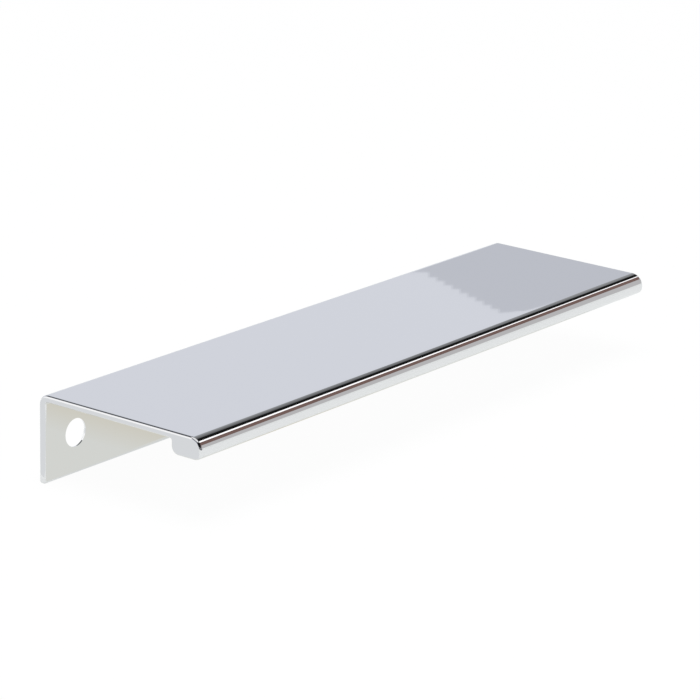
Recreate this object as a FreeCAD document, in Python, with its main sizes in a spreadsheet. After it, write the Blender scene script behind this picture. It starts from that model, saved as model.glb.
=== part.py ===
import FreeCAD, Part
import math
import os

import Sketcher

# Edge pull: a flat top plate with a thin flange turned down at its back, which takes two countersunk
# screws, and a thickened, rounded nose along its front. It is cast in one piece.
# +X runs along the pull, the nose points to -Y and +Z is up. The origin is halfway between the two
# screw holes, on the flange's inner face, which lies against the back of the door or drawer front.

# Driving dimensions, in millimetres and degrees
DIMENSIONS = [
    ("length", 145.0, "end to end"),
    ("depth", 39.5, "outer face of the flange to the front of the nose"),
    ("height", 17.6, "top of the plate to the free edge of the flange"),
    ("plate_thickness", 1.4, "top plate"),
    ("flange_thickness", 1.5, "flange"),
    ("bend_radius", 2.0, "outer corner where the plate turns down into the flange"),
    ("inner_radius", 0.5, "inner corners, under the plate"),
    ("nose_top_radius", 2.6, "front edge of the top plate"),
    ("nose_bottom_radius", 1.7, "lower front of the nose"),
    ("lip_width", 7.1, "front of the nose to the back of the lip"),
    ("lip_corner_radius", 1.6, "lower back corner of the lip"),
    ("edge_radius", 0.55, "polished edges of both ends and of the flange's free edge"),
    ("hole_end_distance", 8.5, "end of the pull to the centre of its nearest screw hole"),
    ("hole_drop", 9.4, "top of the plate to the screw holes"),
    ("hole_diameter", 5.6, "screw hole at the flange's inner face"),
    ("countersink_diameter", 8.0, "screw hole at the flange's outer face"),
    ("countersink_angle", 90.0, "full angle of the countersink"),
]
SHEET = "Sizes"
NODE = "pull_body"
# The most that each edge radius may take of the plate's or the flange's thickness, as both their edges
# are rounded
ROUNDED_SHARE = 0.45

# Ends of a sketch line or arc, and the centre of an arc or circle
START, END, CENTRE = range(1, 4)
# The sketch's own origin
ORIGIN = (-1, 1)


def make_sheet(doc):
    """The spreadsheet with one named cell for each driving dimension."""
    sheet = doc.addObject("Spreadsheet::Sheet", SHEET)
    for row, (name, value, note) in enumerate(DIMENSIONS, start=1):
        sheet.set(f"A{row}", name)
        sheet.set(f"B{row}", str(value))
        sheet.set(f"C{row}", note)
        sheet.setAlias(f"B{row}", name)
    doc.recompute()
    return sheet


def add_sketch(body, name, plane_role):
    """An empty sketch on one of the body's own origin planes."""
    sketch = body.newObject("Sketcher::SketchObject", name)
    plane = next(feature for feature in body.Origin.OriginFeatures if feature.Role == plane_role)
    sketch.AttachmentSupport = [(plane, "")]
    sketch.MapMode = "FlatFace"
    return sketch


def add_line(sketch, start, end):
    return sketch.addGeometry(Part.LineSegment(FreeCAD.Vector(*start), FreeCAD.Vector(*end)))


def add_quarter(sketch, centre, radius, first_angle):
    """A quarter circle, counterclockwise from first_angle in degrees."""
    circle = Part.Circle(FreeCAD.Vector(*centre), FreeCAD.Vector(0, 0, 1), radius)
    return sketch.addGeometry(
        Part.ArcOfCircle(circle, math.radians(first_angle), math.radians(first_angle + 90))
    )


def relate(sketch, kind, *where):
    sketch.addConstraint(Sketcher.Constraint(kind, *where))


def dimension(sketch, kind, where, formula):
    """A dimension at its drawn value, then tied to the sheet."""
    if kind in ("Radius", "Diameter"):
        radius = sketch.Geometry[where[0]].Radius
        drawn = radius if kind == "Radius" else 2 * radius
    else:
        first, second = sketch.getPoint(*where[:2]), sketch.getPoint(*where[2:])
        drawn = second.x - first.x if kind == "DistanceX" else second.y - first.y
    number = sketch.addConstraint(Sketcher.Constraint(kind, *where, drawn))
    sketch.setExpression(f"Constraints[{number}]", formula)


def make_section(body, sheet):
    """The outline that runs the whole length, drawn in the YZ plane."""
    section = add_sketch(body, "Section", "YZ_Plane")

    # Faces and corners, from the sheet
    outer_y = sheet.flange_thickness
    nose_y = outer_y - sheet.depth
    lip_y = nose_y + sheet.lip_width
    top_z = sheet.hole_drop
    under_z = top_z - sheet.plate_thickness
    bottom_z = top_z - sheet.height
    nose_z = top_z - sheet.nose_top_radius
    lip_z = nose_z - sheet.nose_bottom_radius
    inner = sheet.inner_radius
    bend = sheet.bend_radius
    corner = sheet.lip_corner_radius
    nose_top_y = nose_y + sheet.nose_top_radius
    nose_bottom_y = nose_y + sheet.nose_bottom_radius

    # Flange, outer bend and top
    flange_edge = add_line(section, (0, bottom_z), (outer_y, bottom_z))
    flange_back = add_line(section, (outer_y, bottom_z), (outer_y, top_z - bend))
    bend_arc = add_quarter(section, (outer_y - bend, top_z - bend), bend, 0)
    top = add_line(section, (outer_y - bend, top_z), (nose_top_y, top_z))
    # Nose and lip
    nose_top = add_quarter(section, (nose_top_y, nose_z), sheet.nose_top_radius, 90)
    nose_bottom = add_quarter(section, (nose_bottom_y, nose_z), sheet.nose_bottom_radius, 180)
    lip_under = add_line(section, (nose_bottom_y, lip_z), (lip_y - corner, lip_z))
    lip_corner = add_quarter(section, (lip_y - corner, lip_z + corner), corner, 270)
    lip_back = add_line(section, (lip_y, lip_z + corner), (lip_y, under_z - inner))
    # Underside of the plate, back to the flange
    lip_root = add_quarter(section, (lip_y + inner, under_z - inner), inner, 90)
    underside = add_line(section, (lip_y + inner, under_z), (-inner, under_z))
    flange_root = add_quarter(section, (-inner, under_z - inner), inner, 0)
    flange_face = add_line(section, (0, under_z - inner), (0, bottom_z))

    # The two square corners of the flange's free edge
    relate(section, "Coincident", flange_face, END, flange_edge, START)
    relate(section, "Coincident", flange_edge, END, flange_back, START)
    # Every other joint is smooth
    relate(section, "Tangent", flange_back, END, bend_arc, START)
    relate(section, "Tangent", bend_arc, END, top, START)
    relate(section, "Tangent", top, END, nose_top, START)
    relate(section, "Tangent", nose_top, END, nose_bottom, START)
    relate(section, "Tangent", nose_bottom, END, lip_under, START)
    relate(section, "Tangent", lip_under, END, lip_corner, START)
    relate(section, "Tangent", lip_corner, END, lip_back, START)
    relate(section, "Tangent", lip_back, END, lip_root, END)
    relate(section, "Tangent", lip_root, START, underside, START)
    relate(section, "Tangent", underside, END, flange_root, END)
    relate(section, "Tangent", flange_root, START, flange_face, START)

    for level in (flange_edge, top, lip_under, underside):
        relate(section, "Horizontal", level)
    for upright in (flange_back, lip_back, flange_face):
        relate(section, "Vertical", upright)
    relate(section, "Horizontal", nose_top, CENTRE, nose_top, END)

    # The flange's inner face is in line with the origin, and the holes are level with it
    relate(section, "Vertical", *ORIGIN, flange_face, END)
    dimension(section, "DistanceY", (*ORIGIN, top, START), f"{SHEET}.hole_drop")
    dimension(section, "DistanceY", (flange_edge, START, top, START), f"{SHEET}.height")
    dimension(section, "DistanceX", (flange_edge, START, flange_edge, END), f"{SHEET}.flange_thickness")
    dimension(section, "DistanceX", (nose_top, END, flange_edge, END), f"{SHEET}.depth")
    dimension(section, "DistanceY", (underside, START, top, END), f"{SHEET}.plate_thickness")
    dimension(section, "DistanceX", (nose_top, END, lip_back, END), f"{SHEET}.lip_width")
    dimension(section, "Radius", (bend_arc,), f"{SHEET}.bend_radius")
    dimension(section, "Radius", (nose_top,), f"{SHEET}.nose_top_radius")
    dimension(section, "Radius", (nose_bottom,), f"{SHEET}.nose_bottom_radius")
    dimension(section, "Radius", (lip_corner,), f"{SHEET}.lip_corner_radius")
    dimension(section, "Radius", (lip_root,), f"{SHEET}.inner_radius")
    dimension(section, "Radius", (flange_root,), f"{SHEET}.inner_radius")
    return section


def make_bar(body, section):
    """The section carried along the whole length, half to each side of the origin."""
    bar = body.newObject("PartDesign::Pad", "Bar")
    bar.Profile = section
    bar.SideType = "Symmetric"
    bar.setExpression("Length", f"{SHEET}.length")
    return bar


def round_edges(body, bar, sheet):
    """The small polished radius round both cut ends and along the flange's free edge."""
    half_length = sheet.length / 2
    bottom_z = sheet.hole_drop - sheet.height
    near = 1e-4

    def is_sharp(edge):
        points = [vertex.Point for vertex in edge.Vertexes]
        at_end = all(abs(abs(point.x) - half_length) < near for point in points)
        along = abs(points[0].x - points[-1].x) > half_length
        free_edge = all(abs(point.z - bottom_z) < near for point in points)
        return (at_end and not along) or (free_edge and along)

    names = [f"Edge{number}" for number, edge in enumerate(bar.Shape.Edges, start=1) if is_sharp(edge)]
    rounding = body.newObject("PartDesign::Fillet", "EdgeRounding")
    rounding.Base = (bar, names)
    thinnest = f"min({SHEET}.plate_thickness; {SHEET}.flange_thickness)"
    rounding.setExpression("Radius", f"min({SHEET}.edge_radius; {ROUNDED_SHARE} * {thinnest})")
    return rounding


def make_hole_centres(body, sheet):
    """The two hole centres, on the flange's outer face and level with the origin."""
    centres = add_sketch(body, "HoleCentres", "XZ_Plane")
    centres.setExpression("AttachmentOffset.Base.z", f"-{SHEET}.flange_thickness")
    normal = FreeCAD.Vector(0, 0, 1)
    reach = sheet.length / 2 - sheet.hole_end_distance
    left, right = [
        centres.addGeometry(Part.Circle(FreeCAD.Vector(x, 0), normal, sheet.hole_diameter / 2))
        for x in (-reach, reach)
    ]
    relate(centres, "Horizontal", *ORIGIN, left, CENTRE)
    relate(centres, "Symmetric", left, CENTRE, right, CENTRE, *ORIGIN)
    relate(centres, "Equal", left, right)
    spacing = f"{SHEET}.length - 2 * {SHEET}.hole_end_distance"
    dimension(centres, "DistanceX", (left, CENTRE, right, CENTRE), spacing)
    dimension(centres, "Diameter", (left,), f"{SHEET}.hole_diameter")
    return centres


def make_holes(body, centres):
    """Screw holes through the flange, countersunk from its outer face."""
    holes = body.newObject("PartDesign::Hole", "ScrewHoles")
    holes.Profile = centres
    holes.DepthType = "ThroughAll"
    holes.HoleCutType = "Countersink"
    holes.HoleCutCustomValues = True
    holes.Reversed = True
    holes.setExpression("Diameter", f"{SHEET}.hole_diameter")
    holes.setExpression("HoleCutDiameter", f"{SHEET}.countersink_diameter")
    holes.setExpression("HoleCutCountersinkAngle", f"{SHEET}.countersink_angle")
    return holes


def make_pull_body(doc, sheet):
    """The whole pull, one cast solid."""
    body = doc.addObject("PartDesign::Body", "PullBody")
    body.Label = NODE
    body.Placement = FreeCAD.Placement()

    bar = make_bar(body, make_section(body, sheet))
    doc.recompute()
    round_edges(body, bar, sheet)
    doc.recompute()
    solid_volume = body.Shape.Volume

    make_holes(body, make_hole_centres(body, sheet))
    doc.recompute()
    if body.Shape.Volume >= solid_volume:
        raise RuntimeError("the screw holes cut nothing")
    return body


def check(doc, bodies):
    """Stops before anything is written if a feature failed or a solid isn't sound."""
    for item in doc.Objects:
        if "Invalid" in item.State or "Error" in item.State:
            raise RuntimeError(f"{item.Label} failed: {item.State}")
    for body in bodies:
        if body.Shape.isNull() or not body.Shape.isValid() or len(body.Shape.Solids) != 1:
            raise RuntimeError(f"{body.Label} isn't one sound solid")


def main():
    doc = FreeCAD.newDocument("EdgePull")
    sheet = make_sheet(doc)
    bodies = [make_pull_body(doc, sheet)]
    check(doc, bodies)
    os.makedirs("parts", exist_ok=True)
    for body in bodies:
        body.Shape.exportStep(f"parts/{body.Label}.step")
        box = body.Shape.optimalBoundingBox(False)
        print(f"{body.Label}: {box.XLength:.2f} x {box.YLength:.2f} x {box.ZLength:.2f} mm")
        print(f"{body.Label}: volume {body.Shape.Volume:.1f} mm3")


main()
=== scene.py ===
import math

import bmesh
import bpy
from mathutils import Matrix, Vector


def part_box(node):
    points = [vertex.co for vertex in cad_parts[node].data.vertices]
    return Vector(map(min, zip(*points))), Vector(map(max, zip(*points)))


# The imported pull, and its box before anything is added
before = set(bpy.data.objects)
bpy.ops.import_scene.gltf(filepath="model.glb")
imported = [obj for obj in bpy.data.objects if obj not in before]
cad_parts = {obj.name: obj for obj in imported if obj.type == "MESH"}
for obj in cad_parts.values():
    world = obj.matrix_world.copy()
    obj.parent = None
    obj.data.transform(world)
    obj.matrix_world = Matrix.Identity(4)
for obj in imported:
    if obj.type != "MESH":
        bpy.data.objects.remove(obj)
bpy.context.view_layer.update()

bl_info = {
    "name": "Edge Pull",
    "version": (1, 0, 0),
    "blender": (4, 5, 0),
    "location": "3D View > Sidebar > Edge Pull",
    "description": "Finishes a chrome edge pull and sets it in a small photo studio",
    "category": "Object",
}

PULL = "pull_body"
CHROME_SLOT = "polished_chrome"

# Compass bearings of the screens round the pull, in degrees, 0 along +Y and 90 along +X
BEHIND_FAR_END = 55.0
BEYOND_NOSE = 122.0
ROUND_CAMERA = 195.0
BESIDE_NEAR_END = -38.0
# The height of the floor cards of painted shade above the floor, and of the warm cards of painted shade
# above those, in metres
FLOOR_SHADE_LIFT = 0.0005
WARM_SHADE_LIFT = 0.0003
# The vertex colours that hold a screen's tone
TONE = "tone"


class ChromeSettings(bpy.types.PropertyGroup):
    """The plated finish of the pull."""

    colour: bpy.props.FloatVectorProperty(
        name="Colour", description="Chrome seen straight on", subtype="COLOR",
        default=(0.8, 0.8, 0.81), min=0, max=1)
    roughness: bpy.props.FloatProperty(
        name="Roughness", description="Of the clean polished plate", subtype="FACTOR",
        default=0.008, min=0, max=1)
    haze: bpy.props.FloatProperty(
        name="Haze", description="Added roughness where the polish is cloudy", subtype="FACTOR",
        default=0.012, min=0, max=1)
    haze_size: bpy.props.FloatProperty(
        name="Haze Size", description="Size of the cloudy patches", unit="LENGTH",
        default=0.018, min=0.001, precision=4)
    ripple_size: bpy.props.FloatProperty(
        name="Ripple Size", description="Length of the faint ripples left by casting", unit="LENGTH",
        default=0.004, min=0.0005, precision=4)
    ripple_depth: bpy.props.FloatProperty(
        name="Ripple Depth", description="Depth of those ripples", unit="LENGTH",
        default=0.3e-6, min=0, precision=7)


class StudioSettings(bpy.types.PropertyGroup):
    """Floor, surroundings and lamp."""

    floor_drop: bpy.props.FloatProperty(
        name="Floor Drop", description="From the pull's lowest edge down to the floor", unit="LENGTH",
        default=0.0, precision=4)
    floor_colour: bpy.props.FloatVectorProperty(
        name="Floor Colour", description="Plain pale floor", subtype="COLOR",
        default=(0.86, 0.86, 0.86), min=0, max=1)
    floor_lift: bpy.props.FloatProperty(
        name="Floor Lift", description="How far the camera sees the floor as plain white",
        subtype="FACTOR", default=0.96, min=0, max=1)
    floor_tone: bpy.props.FloatVectorProperty(
        name="Floor Tone", description="What the chrome reflects of the floor", subtype="COLOR",
        default=(0.9, 0.925, 0.915), min=0, max=1)
    floor_glow: bpy.props.FloatProperty(
        name="Floor Glow", description="How far the chrome sees the floor as that plain tone",
        subtype="FACTOR", default=0.8, min=0, max=1)
    wall_distance: bpy.props.FloatProperty(
        name="Wall Distance", description="From the pull to the screens round it", unit="LENGTH",
        default=2.0, min=0.5)
    curtain_hem: bpy.props.FloatProperty(
        name="Curtain Hem", description="Height of the black curtain's lower edge", unit="LENGTH",
        default=0.76, min=0)
    lamp_power: bpy.props.FloatProperty(
        name="Lamp Power", description="Of the overhead lamp that casts the shadow", unit="POWER",
        default=22.0, min=0)
    lamp_width: bpy.props.FloatProperty(
        name="Lamp Width", description="Of the overhead lamp's round face", unit="LENGTH",
        default=1.2, min=0.1)
    lamp_place: bpy.props.FloatVectorProperty(
        name="Lamp Place", description="Of the overhead lamp, from the pull", subtype="TRANSLATION",
        unit="LENGTH", default=(-0.3, -0.2, 1.6))


class CameraSettings(bpy.types.PropertyGroup):
    """The photo's viewing angle."""

    azimuth: bpy.props.FloatProperty(
        name="Azimuth", description="Round the pull, 0 in front of the nose", subtype="ANGLE",
        default=math.radians(-52.548))
    elevation: bpy.props.FloatProperty(
        name="Elevation", description="Above the floor", subtype="ANGLE", default=math.radians(17.329))
    roll: bpy.props.FloatProperty(
        name="Roll", description="Anticlockwise turn of the camera", subtype="ANGLE",
        default=math.radians(1.47))
    distance: bpy.props.FloatProperty(
        name="Distance", description="From the camera to the point it looks at", unit="LENGTH",
        default=0.656, min=0.05)
    target: bpy.props.FloatVectorProperty(
        name="Target", description="The point in the middle of the picture", subtype="TRANSLATION",
        unit="LENGTH", default=(0.00064, -0.01503, 0.00448), precision=5)
    lens: bpy.props.FloatProperty(
        name="Focal Length", description="Lens on a 36 mm sensor", subtype="DISTANCE_CAMERA",
        default=168.58, min=1)


def new_material(name):
    """An empty node material, its node tree and its output node."""
    material = bpy.data.materials.new(name)
    material.use_nodes = True
    tree = material.node_tree
    tree.nodes.clear()
    return material, tree, tree.nodes.new("ShaderNodeOutputMaterial")


def add_node(tree, kind, values=None, **settings):
    """A node with its settings and its sockets' own values."""
    node = tree.nodes.new(kind)
    for name, value in settings.items():
        setattr(node, name, value)
    for socket, value in (values or {}).items():
        node.inputs[socket].default_value = value
    return node


def make_chrome(chrome):
    """Bright chrome plate: a near mirror with cloudy patches of polish and faint casting ripples."""
    material, tree, output = new_material(CHROME_SLOT)
    link = tree.links.new
    place = add_node(tree, "ShaderNodeTexCoord")

    clouds = add_node(tree, "ShaderNodeTexNoise", {"Scale": 1 / chrome.haze_size, "Detail": 3.0})
    roughness = add_node(tree, "ShaderNodeMapRange", {
        "From Min": 0.35, "From Max": 0.75,
        "To Min": chrome.roughness, "To Max": chrome.roughness + chrome.haze})
    ripples = add_node(tree, "ShaderNodeTexNoise", {"Scale": 1 / chrome.ripple_size, "Detail": 2.0})
    bump = add_node(tree, "ShaderNodeBump", {"Strength": 1.0, "Distance": chrome.ripple_depth})
    plate = add_node(tree, "ShaderNodeBsdfPrincipled", {"Base Color": (*chrome.colour, 1), "Metallic": 1.0})

    link(place.outputs["Object"], clouds.inputs["Vector"])
    link(clouds.outputs["Fac"], roughness.inputs["Value"])
    link(roughness.outputs["Result"], plate.inputs["Roughness"])
    link(place.outputs["Object"], ripples.inputs["Vector"])
    link(ripples.outputs["Fac"], bump.inputs["Height"])
    link(bump.outputs["Normal"], plate.inputs["Normal"])
    link(plate.outputs["BSDF"], output.inputs["Surface"])
    return material


def make_screen_material():
    """Evenly lit screens, each in the tones stored on its corners."""
    material, tree, output = new_material("studio_screens")
    tone = add_node(tree, "ShaderNodeVertexColor", layer_name=TONE)
    glow = add_node(tree, "ShaderNodeEmission")
    tree.links.new(tone.outputs["Color"], glow.inputs["Color"])
    tree.links.new(glow.outputs["Emission"], output.inputs["Surface"])
    return material


def make_floor_material(studio):
    """Pale floor that the camera sees as white, still with the pull's shadow on it."""
    material, tree, output = new_material("studio_floor")
    link = tree.links.new
    rays = add_node(tree, "ShaderNodeLightPath")
    lit = add_node(tree, "ShaderNodeBsdfDiffuse", {"Color": (*studio.floor_colour, 1)})
    tone = add_node(tree, "ShaderNodeEmission", {"Color": (*studio.floor_tone, 1)})
    white = add_node(tree, "ShaderNodeEmission")
    glow = add_node(tree, "ShaderNodeMath", {1: studio.floor_glow}, operation="MULTIPLY")
    lift = add_node(tree, "ShaderNodeMath", {1: studio.floor_lift}, operation="MULTIPLY")
    reflected = add_node(tree, "ShaderNodeMixShader")
    seen = add_node(tree, "ShaderNodeMixShader")

    link(rays.outputs["Is Glossy Ray"], glow.inputs[0])
    link(glow.outputs[0], reflected.inputs["Fac"])
    link(lit.outputs["BSDF"], reflected.inputs[1])
    link(tone.outputs["Emission"], reflected.inputs[2])
    link(rays.outputs["Is Camera Ray"], lift.inputs[0])
    link(lift.outputs[0], seen.inputs["Fac"])
    link(reflected.outputs["Shader"], seen.inputs[1])
    link(white.outputs["Emission"], seen.inputs[2])
    link(seen.outputs["Shader"], output.inputs["Surface"])
    return material


def mesh_object(name, bm, material):
    """A finished mesh object at the origin."""
    mesh = bpy.data.meshes.new(name)
    bm.to_mesh(mesh)
    bm.free()
    mesh.materials.append(material)
    piece = bpy.data.objects.new(name, mesh)
    bpy.context.scene.collection.objects.link(piece)
    return piece


def upright(azimuth, distance):
    """The plane of an upright screen that faces the pull. azimuth is the compass direction it stands in,
    0 along +Y and 90 along +X."""
    turn = Matrix.Rotation(math.radians(-azimuth), 4, "Z")
    return turn @ Matrix.Translation((0, distance, 0)) @ Matrix.Rotation(math.radians(90), 4, "X")


def add_screen(name, material, plane, corners, left_tone, right_tone=None):
    """A flat screen, seen only in reflections. corners are (along, height) in metres in the plane's own
    axes. Its tone runs evenly from left_tone to right_tone."""
    bm = bmesh.new()
    tones = bm.verts.layers.float_color.new(TONE)
    left, right = min(corners)[0], max(corners)[0]
    for along, height in corners:
        share = (along - left) / (right - left)
        vertex = bm.verts.new(plane @ Vector((along, height, 0)))
        vertex[tones] = (*Vector(left_tone).lerp(right_tone or left_tone, share), 1)
    bm.faces.new(bm.verts)
    screen = mesh_object(name, bm, material)
    screen.visible_camera = False
    screen.visible_diffuse = False
    screen.visible_shadow = False


def rectangle(left, right, bottom, top):
    """A screen's four corners."""
    return [(left, bottom), (right, bottom), (right, top), (left, top)]


def make_surroundings(studio):
    """White behind everything; in reflections pale walls, a dark band above them and light overhead."""
    world = bpy.data.worlds.new("studio_surroundings")
    bpy.context.scene.world = world
    world.use_nodes = True
    tree = world.node_tree
    tree.nodes.clear()
    link = tree.links.new
    output = add_node(tree, "ShaderNodeOutputWorld")
    place = add_node(tree, "ShaderNodeTexCoord")
    direction = add_node(tree, "ShaderNodeSeparateXYZ")
    levels = add_node(tree, "ShaderNodeValToRGB")
    rays = add_node(tree, "ShaderNodeLightPath")
    pick = add_node(tree, "ShaderNodeMix", {"B": (1, 1, 1, 1)}, data_type="RGBA")
    background = add_node(tree, "ShaderNodeBackground")

    pale_wall = (0.77, 0.79, 0.85)
    # Elevation in degrees and colour of each level, from the horizon up
    tones = [
        (0.0, studio.floor_tone),
        (5.0, studio.floor_tone),
        (8.0, pale_wall),
        (29.0, pale_wall),
        (32.0, (0.33, 0.355, 0.38)),
        (37.0, (0.235, 0.255, 0.28)),
        (45.0, (0.14, 0.15, 0.165)),
        (56.0, (0.08, 0.08, 0.09)),
        (60.0, (0.95, 0.95, 0.96)),
    ]
    ramp = levels.color_ramp.elements
    while len(ramp) < len(tones):
        ramp.new(1.0)
    for stop, (elevation, tone) in zip(ramp, tones):
        stop.position = math.sin(math.radians(elevation))
        stop.color = (*tone, 1)

    link(place.outputs["Generated"], direction.inputs["Vector"])
    link(direction.outputs["Z"], levels.inputs["Fac"])
    link(levels.outputs["Color"], pick.inputs["A"])
    link(rays.outputs["Is Camera Ray"], pick.inputs["Factor"])
    link(pick.outputs["Result"], background.inputs["Color"])
    link(background.outputs["Background"], output.inputs["Surface"])


def floor_height(studio):
    """The floor touches the pull's lowest edge, or lies under it."""
    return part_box(PULL)[0].z - studio.floor_drop


def make_floor(studio):
    """A round floor out to the screens."""
    bm = bmesh.new()
    bmesh.ops.create_circle(bm, cap_ends=True, radius=studio.wall_distance, segments=96,
                            matrix=Matrix.Translation((0, 0, floor_height(studio))))
    floor = mesh_object("floor", bm, make_floor_material(studio))


def stepped_corners(shift):
    """The greyer far screen's corners, with its stepped side moved by shift."""
    steps = 10
    low, high = Vector((-0.0017, 0.4575)) + shift, Vector((0.0546, 0.4847)) + shift
    stepped_side = [(-0.016, 0.0), (-0.016, 0.4568), (low.x, 0.4568)]
    for number in range(steps):
        here = low.lerp(high, number / steps)
        there = low.lerp(high, (number + 1) / steps)
        stepped_side += [(here.x, here.y), (here.x, there.y)]
    notched_top = [
        (0.066, 0.4826), (0.0785, 0.479), (0.088, 0.475), (0.112, 0.545), (0.146, 0.612), (0.18, 0.68)]
    far_side = [(0.19, 0.687), (0.167, 0.575), (0.167, 0.0)]
    return stepped_side + notched_top + far_side


def make_far_screens(glow, distance):
    """Behind the far end: a pale screen, and in front of it a greyer one with a stepped side. A third one
    between them, in a tone halfway, softens that side."""
    add_screen("back_screen", glow, upright(BEHIND_FAR_END, 0.815 * distance), [
        (-3.0, 0.0), (0.17, 0.0), (0.17, 0.58), (0.185, 0.7), (0.19, 0.785), (0.22, 0.904), (0.23, 0.968),
        (0.195, 0.982), (-3.0, 0.982)], (0.757, 0.78, 0.843))
    softening = Vector((-0.0008, 0.0003))
    add_screen("grey_screen_edge", glow, upright(BEHIND_FAR_END, 0.8002 * distance),
               stepped_corners(softening), (0.673, 0.695, 0.756))
    add_screen("grey_screen", glow, upright(BEHIND_FAR_END, 0.8 * distance),
               stepped_corners(-softening), (0.589, 0.61, 0.669))


def make_nose_screens(glow, distance):
    """Beyond the nose: a dark wall, a grey one, a brown board over that, a black flag and a strip light."""
    add_screen("dark_wall", glow, upright(BEYOND_NOSE, 1.15 * distance), rectangle(-4.4, -1.3, 0.0, 5.0),
               (0.37, 0.38, 0.39), (0.08, 0.08, 0.085))
    add_screen("side_wall", glow, upright(BEYOND_NOSE, 1.03 * distance), rectangle(-1.5, 1.5, 0.2, 1.45),
               (0.57, 0.565, 0.57))
    add_screen("side_board", glow, upright(BEYOND_NOSE, 1.02 * distance), [
        (-1.5, 1.38), (1.2, 0.58), (1.2, 1.6), (-1.5, 1.6)], (0.21, 0.135, 0.12))
    add_screen("flag", glow, upright(BEYOND_NOSE, 1.01 * distance), [
        (-2.35, 1.55), (1.2, 1.55), (1.2, 2.7), (-1.5, 2.7), (-1.55, 2.3), (-1.75, 2.1), (-2.02, 1.97),
        (-2.35, 1.82)], (0.01, 0.01, 0.01))
    add_screen("strip_light", glow, upright(BEYOND_NOSE, distance), [
        (-1.4, 1.5), (-0.72, 1.49), (-0.4, 1.47), (-0.25, 1.5), (0.3, 1.5), (0.3, 2.0), (-0.55, 1.8),
        (-0.7, 1.7), (-0.8, 1.64), (-1.15, 1.605), (-1.4, 1.57)], (1.4, 1.4, 1.4))


def make_near_screens(glow, distance, hem):
    """Round the camera a black curtain, grey below its hem, and beside the near end a soft white light."""
    round_camera = upright(ROUND_CAMERA, 1.1 * distance)
    add_screen("curtain", glow, round_camera, rectangle(-3.5, 4.0, hem, 3.5), (0.012, 0.012, 0.014))
    add_screen("curtain_foot", glow, round_camera, rectangle(-3.5, 4.0, 0.0, hem), (0.2, 0.2, 0.21))
    add_screen("side_light", glow, upright(BESIDE_NEAR_END, distance), rectangle(-0.8, 0.8, 0.3, 2.1),
               (1.15, 1.15, 1.15))


def make_floor_shade_cards(glow, floor_z):
    """Cards of painted shade on the floor, seen only in the chrome: a cool one beside the near end, and
    under the pull a pale one with a warm patch on it that fades to both sides."""
    pale, warm = (0.8, 0.812, 0.77), (0.74, 0.71, 0.6)
    on_floor = Matrix.Translation((0, 0, floor_z + FLOOR_SHADE_LIFT))
    # Painted shade: a cool card, darker than the floor's reflected tone, for the floor in shade beside the
    # near end
    add_screen("near_end_shade_card", glow, on_floor, rectangle(-0.4, -0.075, -0.04, 0.2), (0.82, 0.84, 0.855))
    # Painted shade: a pale card for the floor shaded under the plate, and over it a warm-tinted patch of
    # painted shade that fades to both sides
    add_screen("under_pull_shade_card", glow, on_floor, rectangle(-0.072, 0.072, -0.034, 0.0), pale)
    over_card = Matrix.Translation((0, 0, WARM_SHADE_LIFT)) @ on_floor
    add_screen("warm_shade_card_left", glow, over_card, rectangle(-0.05, -0.034, -0.034, 0.0), pale, warm)
    add_screen("warm_shade_card_right", glow, over_card, rectangle(-0.034, 0.01, -0.034, 0.0), warm, pale)


def make_screens(studio):
    """All that only the chrome sees: the screens round the pull and the cards of painted shade on the
    floor.
    """
    glow = make_screen_material()
    make_far_screens(glow, studio.wall_distance)
    make_nose_screens(glow, studio.wall_distance)
    make_near_screens(glow, studio.wall_distance, studio.curtain_hem)
    make_floor_shade_cards(glow, floor_height(studio))


def make_lamp(studio):
    """One soft overhead lamp, for the shadow."""
    light = bpy.data.lights.new("overhead_lamp", "AREA")
    light.shape = "DISK"
    light.size = studio.lamp_width
    light.energy = studio.lamp_power
    lamp = bpy.data.objects.new("overhead_lamp", light)
    lamp.location = studio.lamp_place
    lamp.rotation_euler = Vector(studio.lamp_place).to_track_quat("Z", "Y").to_euler()
    lamp.visible_glossy = False
    bpy.context.scene.collection.objects.link(lamp)


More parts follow.
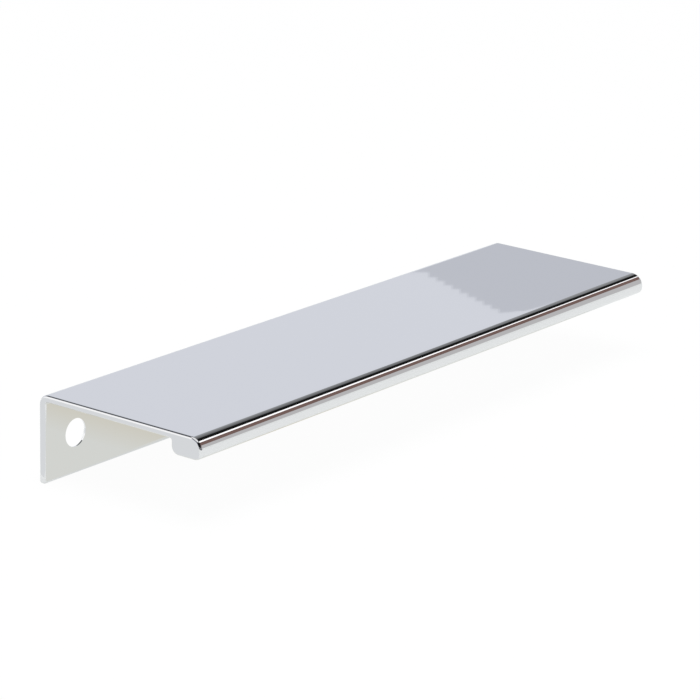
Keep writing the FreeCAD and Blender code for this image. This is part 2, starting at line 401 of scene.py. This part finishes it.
def make_camera(view):
    """The photo's camera, turned round the point in the middle of the picture."""
    back = Vector((
        math.sin(view.azimuth) * math.cos(view.elevation),
        -math.cos(view.azimuth) * math.cos(view.elevation),
        math.sin(view.elevation),
    ))
    lens = bpy.data.cameras.new("camera")
    lens.lens = view.lens
    lens.sensor_width = 36.0
    camera = bpy.data.objects.new("camera", lens)
    camera.location = Vector(view.target) + back * view.distance
    level = back.to_track_quat("Z", "Y").to_matrix()
    camera.rotation_euler = (level @ Matrix.Rotation(view.roll, 3, "Z")).to_euler()
    bpy.context.scene.collection.objects.link(camera)
    bpy.context.scene.camera = camera


class OBJECT_OT_finish_pull(bpy.types.Operator):
    """Give the pull its polished chrome"""

    bl_idname = "object.finish_edge_pull"
    bl_label = "Finish Pull"

    def execute(self, context):
        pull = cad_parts[PULL]
        chrome = make_chrome(context.scene.edge_pull_chrome)
        for material_slot in pull.material_slots:
            material_slot.material = chrome
        return {"FINISHED"}


class SCENE_OT_edge_pull_studio(bpy.types.Operator):
    """Build the floor, screens, lamp, surroundings and camera"""

    bl_idname = "scene.edge_pull_studio"
    bl_label = "Build Studio"

    def execute(self, context):
        studio = context.scene.edge_pull_studio
        make_surroundings(studio)
        make_floor(studio)
        make_screens(studio)
        make_lamp(studio)
        make_camera(context.scene.edge_pull_camera)
        context.scene.view_settings.view_transform = "Standard"
        return {"FINISHED"}


class VIEW3D_PT_edge_pull(bpy.types.Panel):
    """Sizes, colours and steps of the edge pull"""

    bl_label = "Edge Pull"
    bl_space_type = "VIEW_3D"
    bl_region_type = "UI"
    bl_category = "Edge Pull"

    def draw(self, context):
        for group in SETTINGS:
            box = self.layout.box()
            for name in SETTINGS[group].__annotations__:
                box.prop(getattr(context.scene, group), name)
        for step in STEPS:
            self.layout.operator(step.bl_idname)


SETTINGS = {
    "edge_pull_chrome": ChromeSettings,
    "edge_pull_studio": StudioSettings,
    "edge_pull_camera": CameraSettings,
}
STEPS = (OBJECT_OT_finish_pull, SCENE_OT_edge_pull_studio)
CLASSES = (*SETTINGS.values(), *STEPS, VIEW3D_PT_edge_pull)


def register():
    for cls in CLASSES:
        bpy.utils.register_class(cls)
    for group, settings in SETTINGS.items():
        setattr(bpy.types.Scene, group, bpy.props.PointerProperty(type=settings))


def unregister():
    for group in SETTINGS:
        delattr(bpy.types.Scene, group)
    for cls in reversed(CLASSES):
        bpy.utils.unregister_class(cls)


def main():
    register()
    bpy.ops.object.finish_edge_pull()
    bpy.ops.scene.edge_pull_studio()


if __name__ == "__main__":
    main()
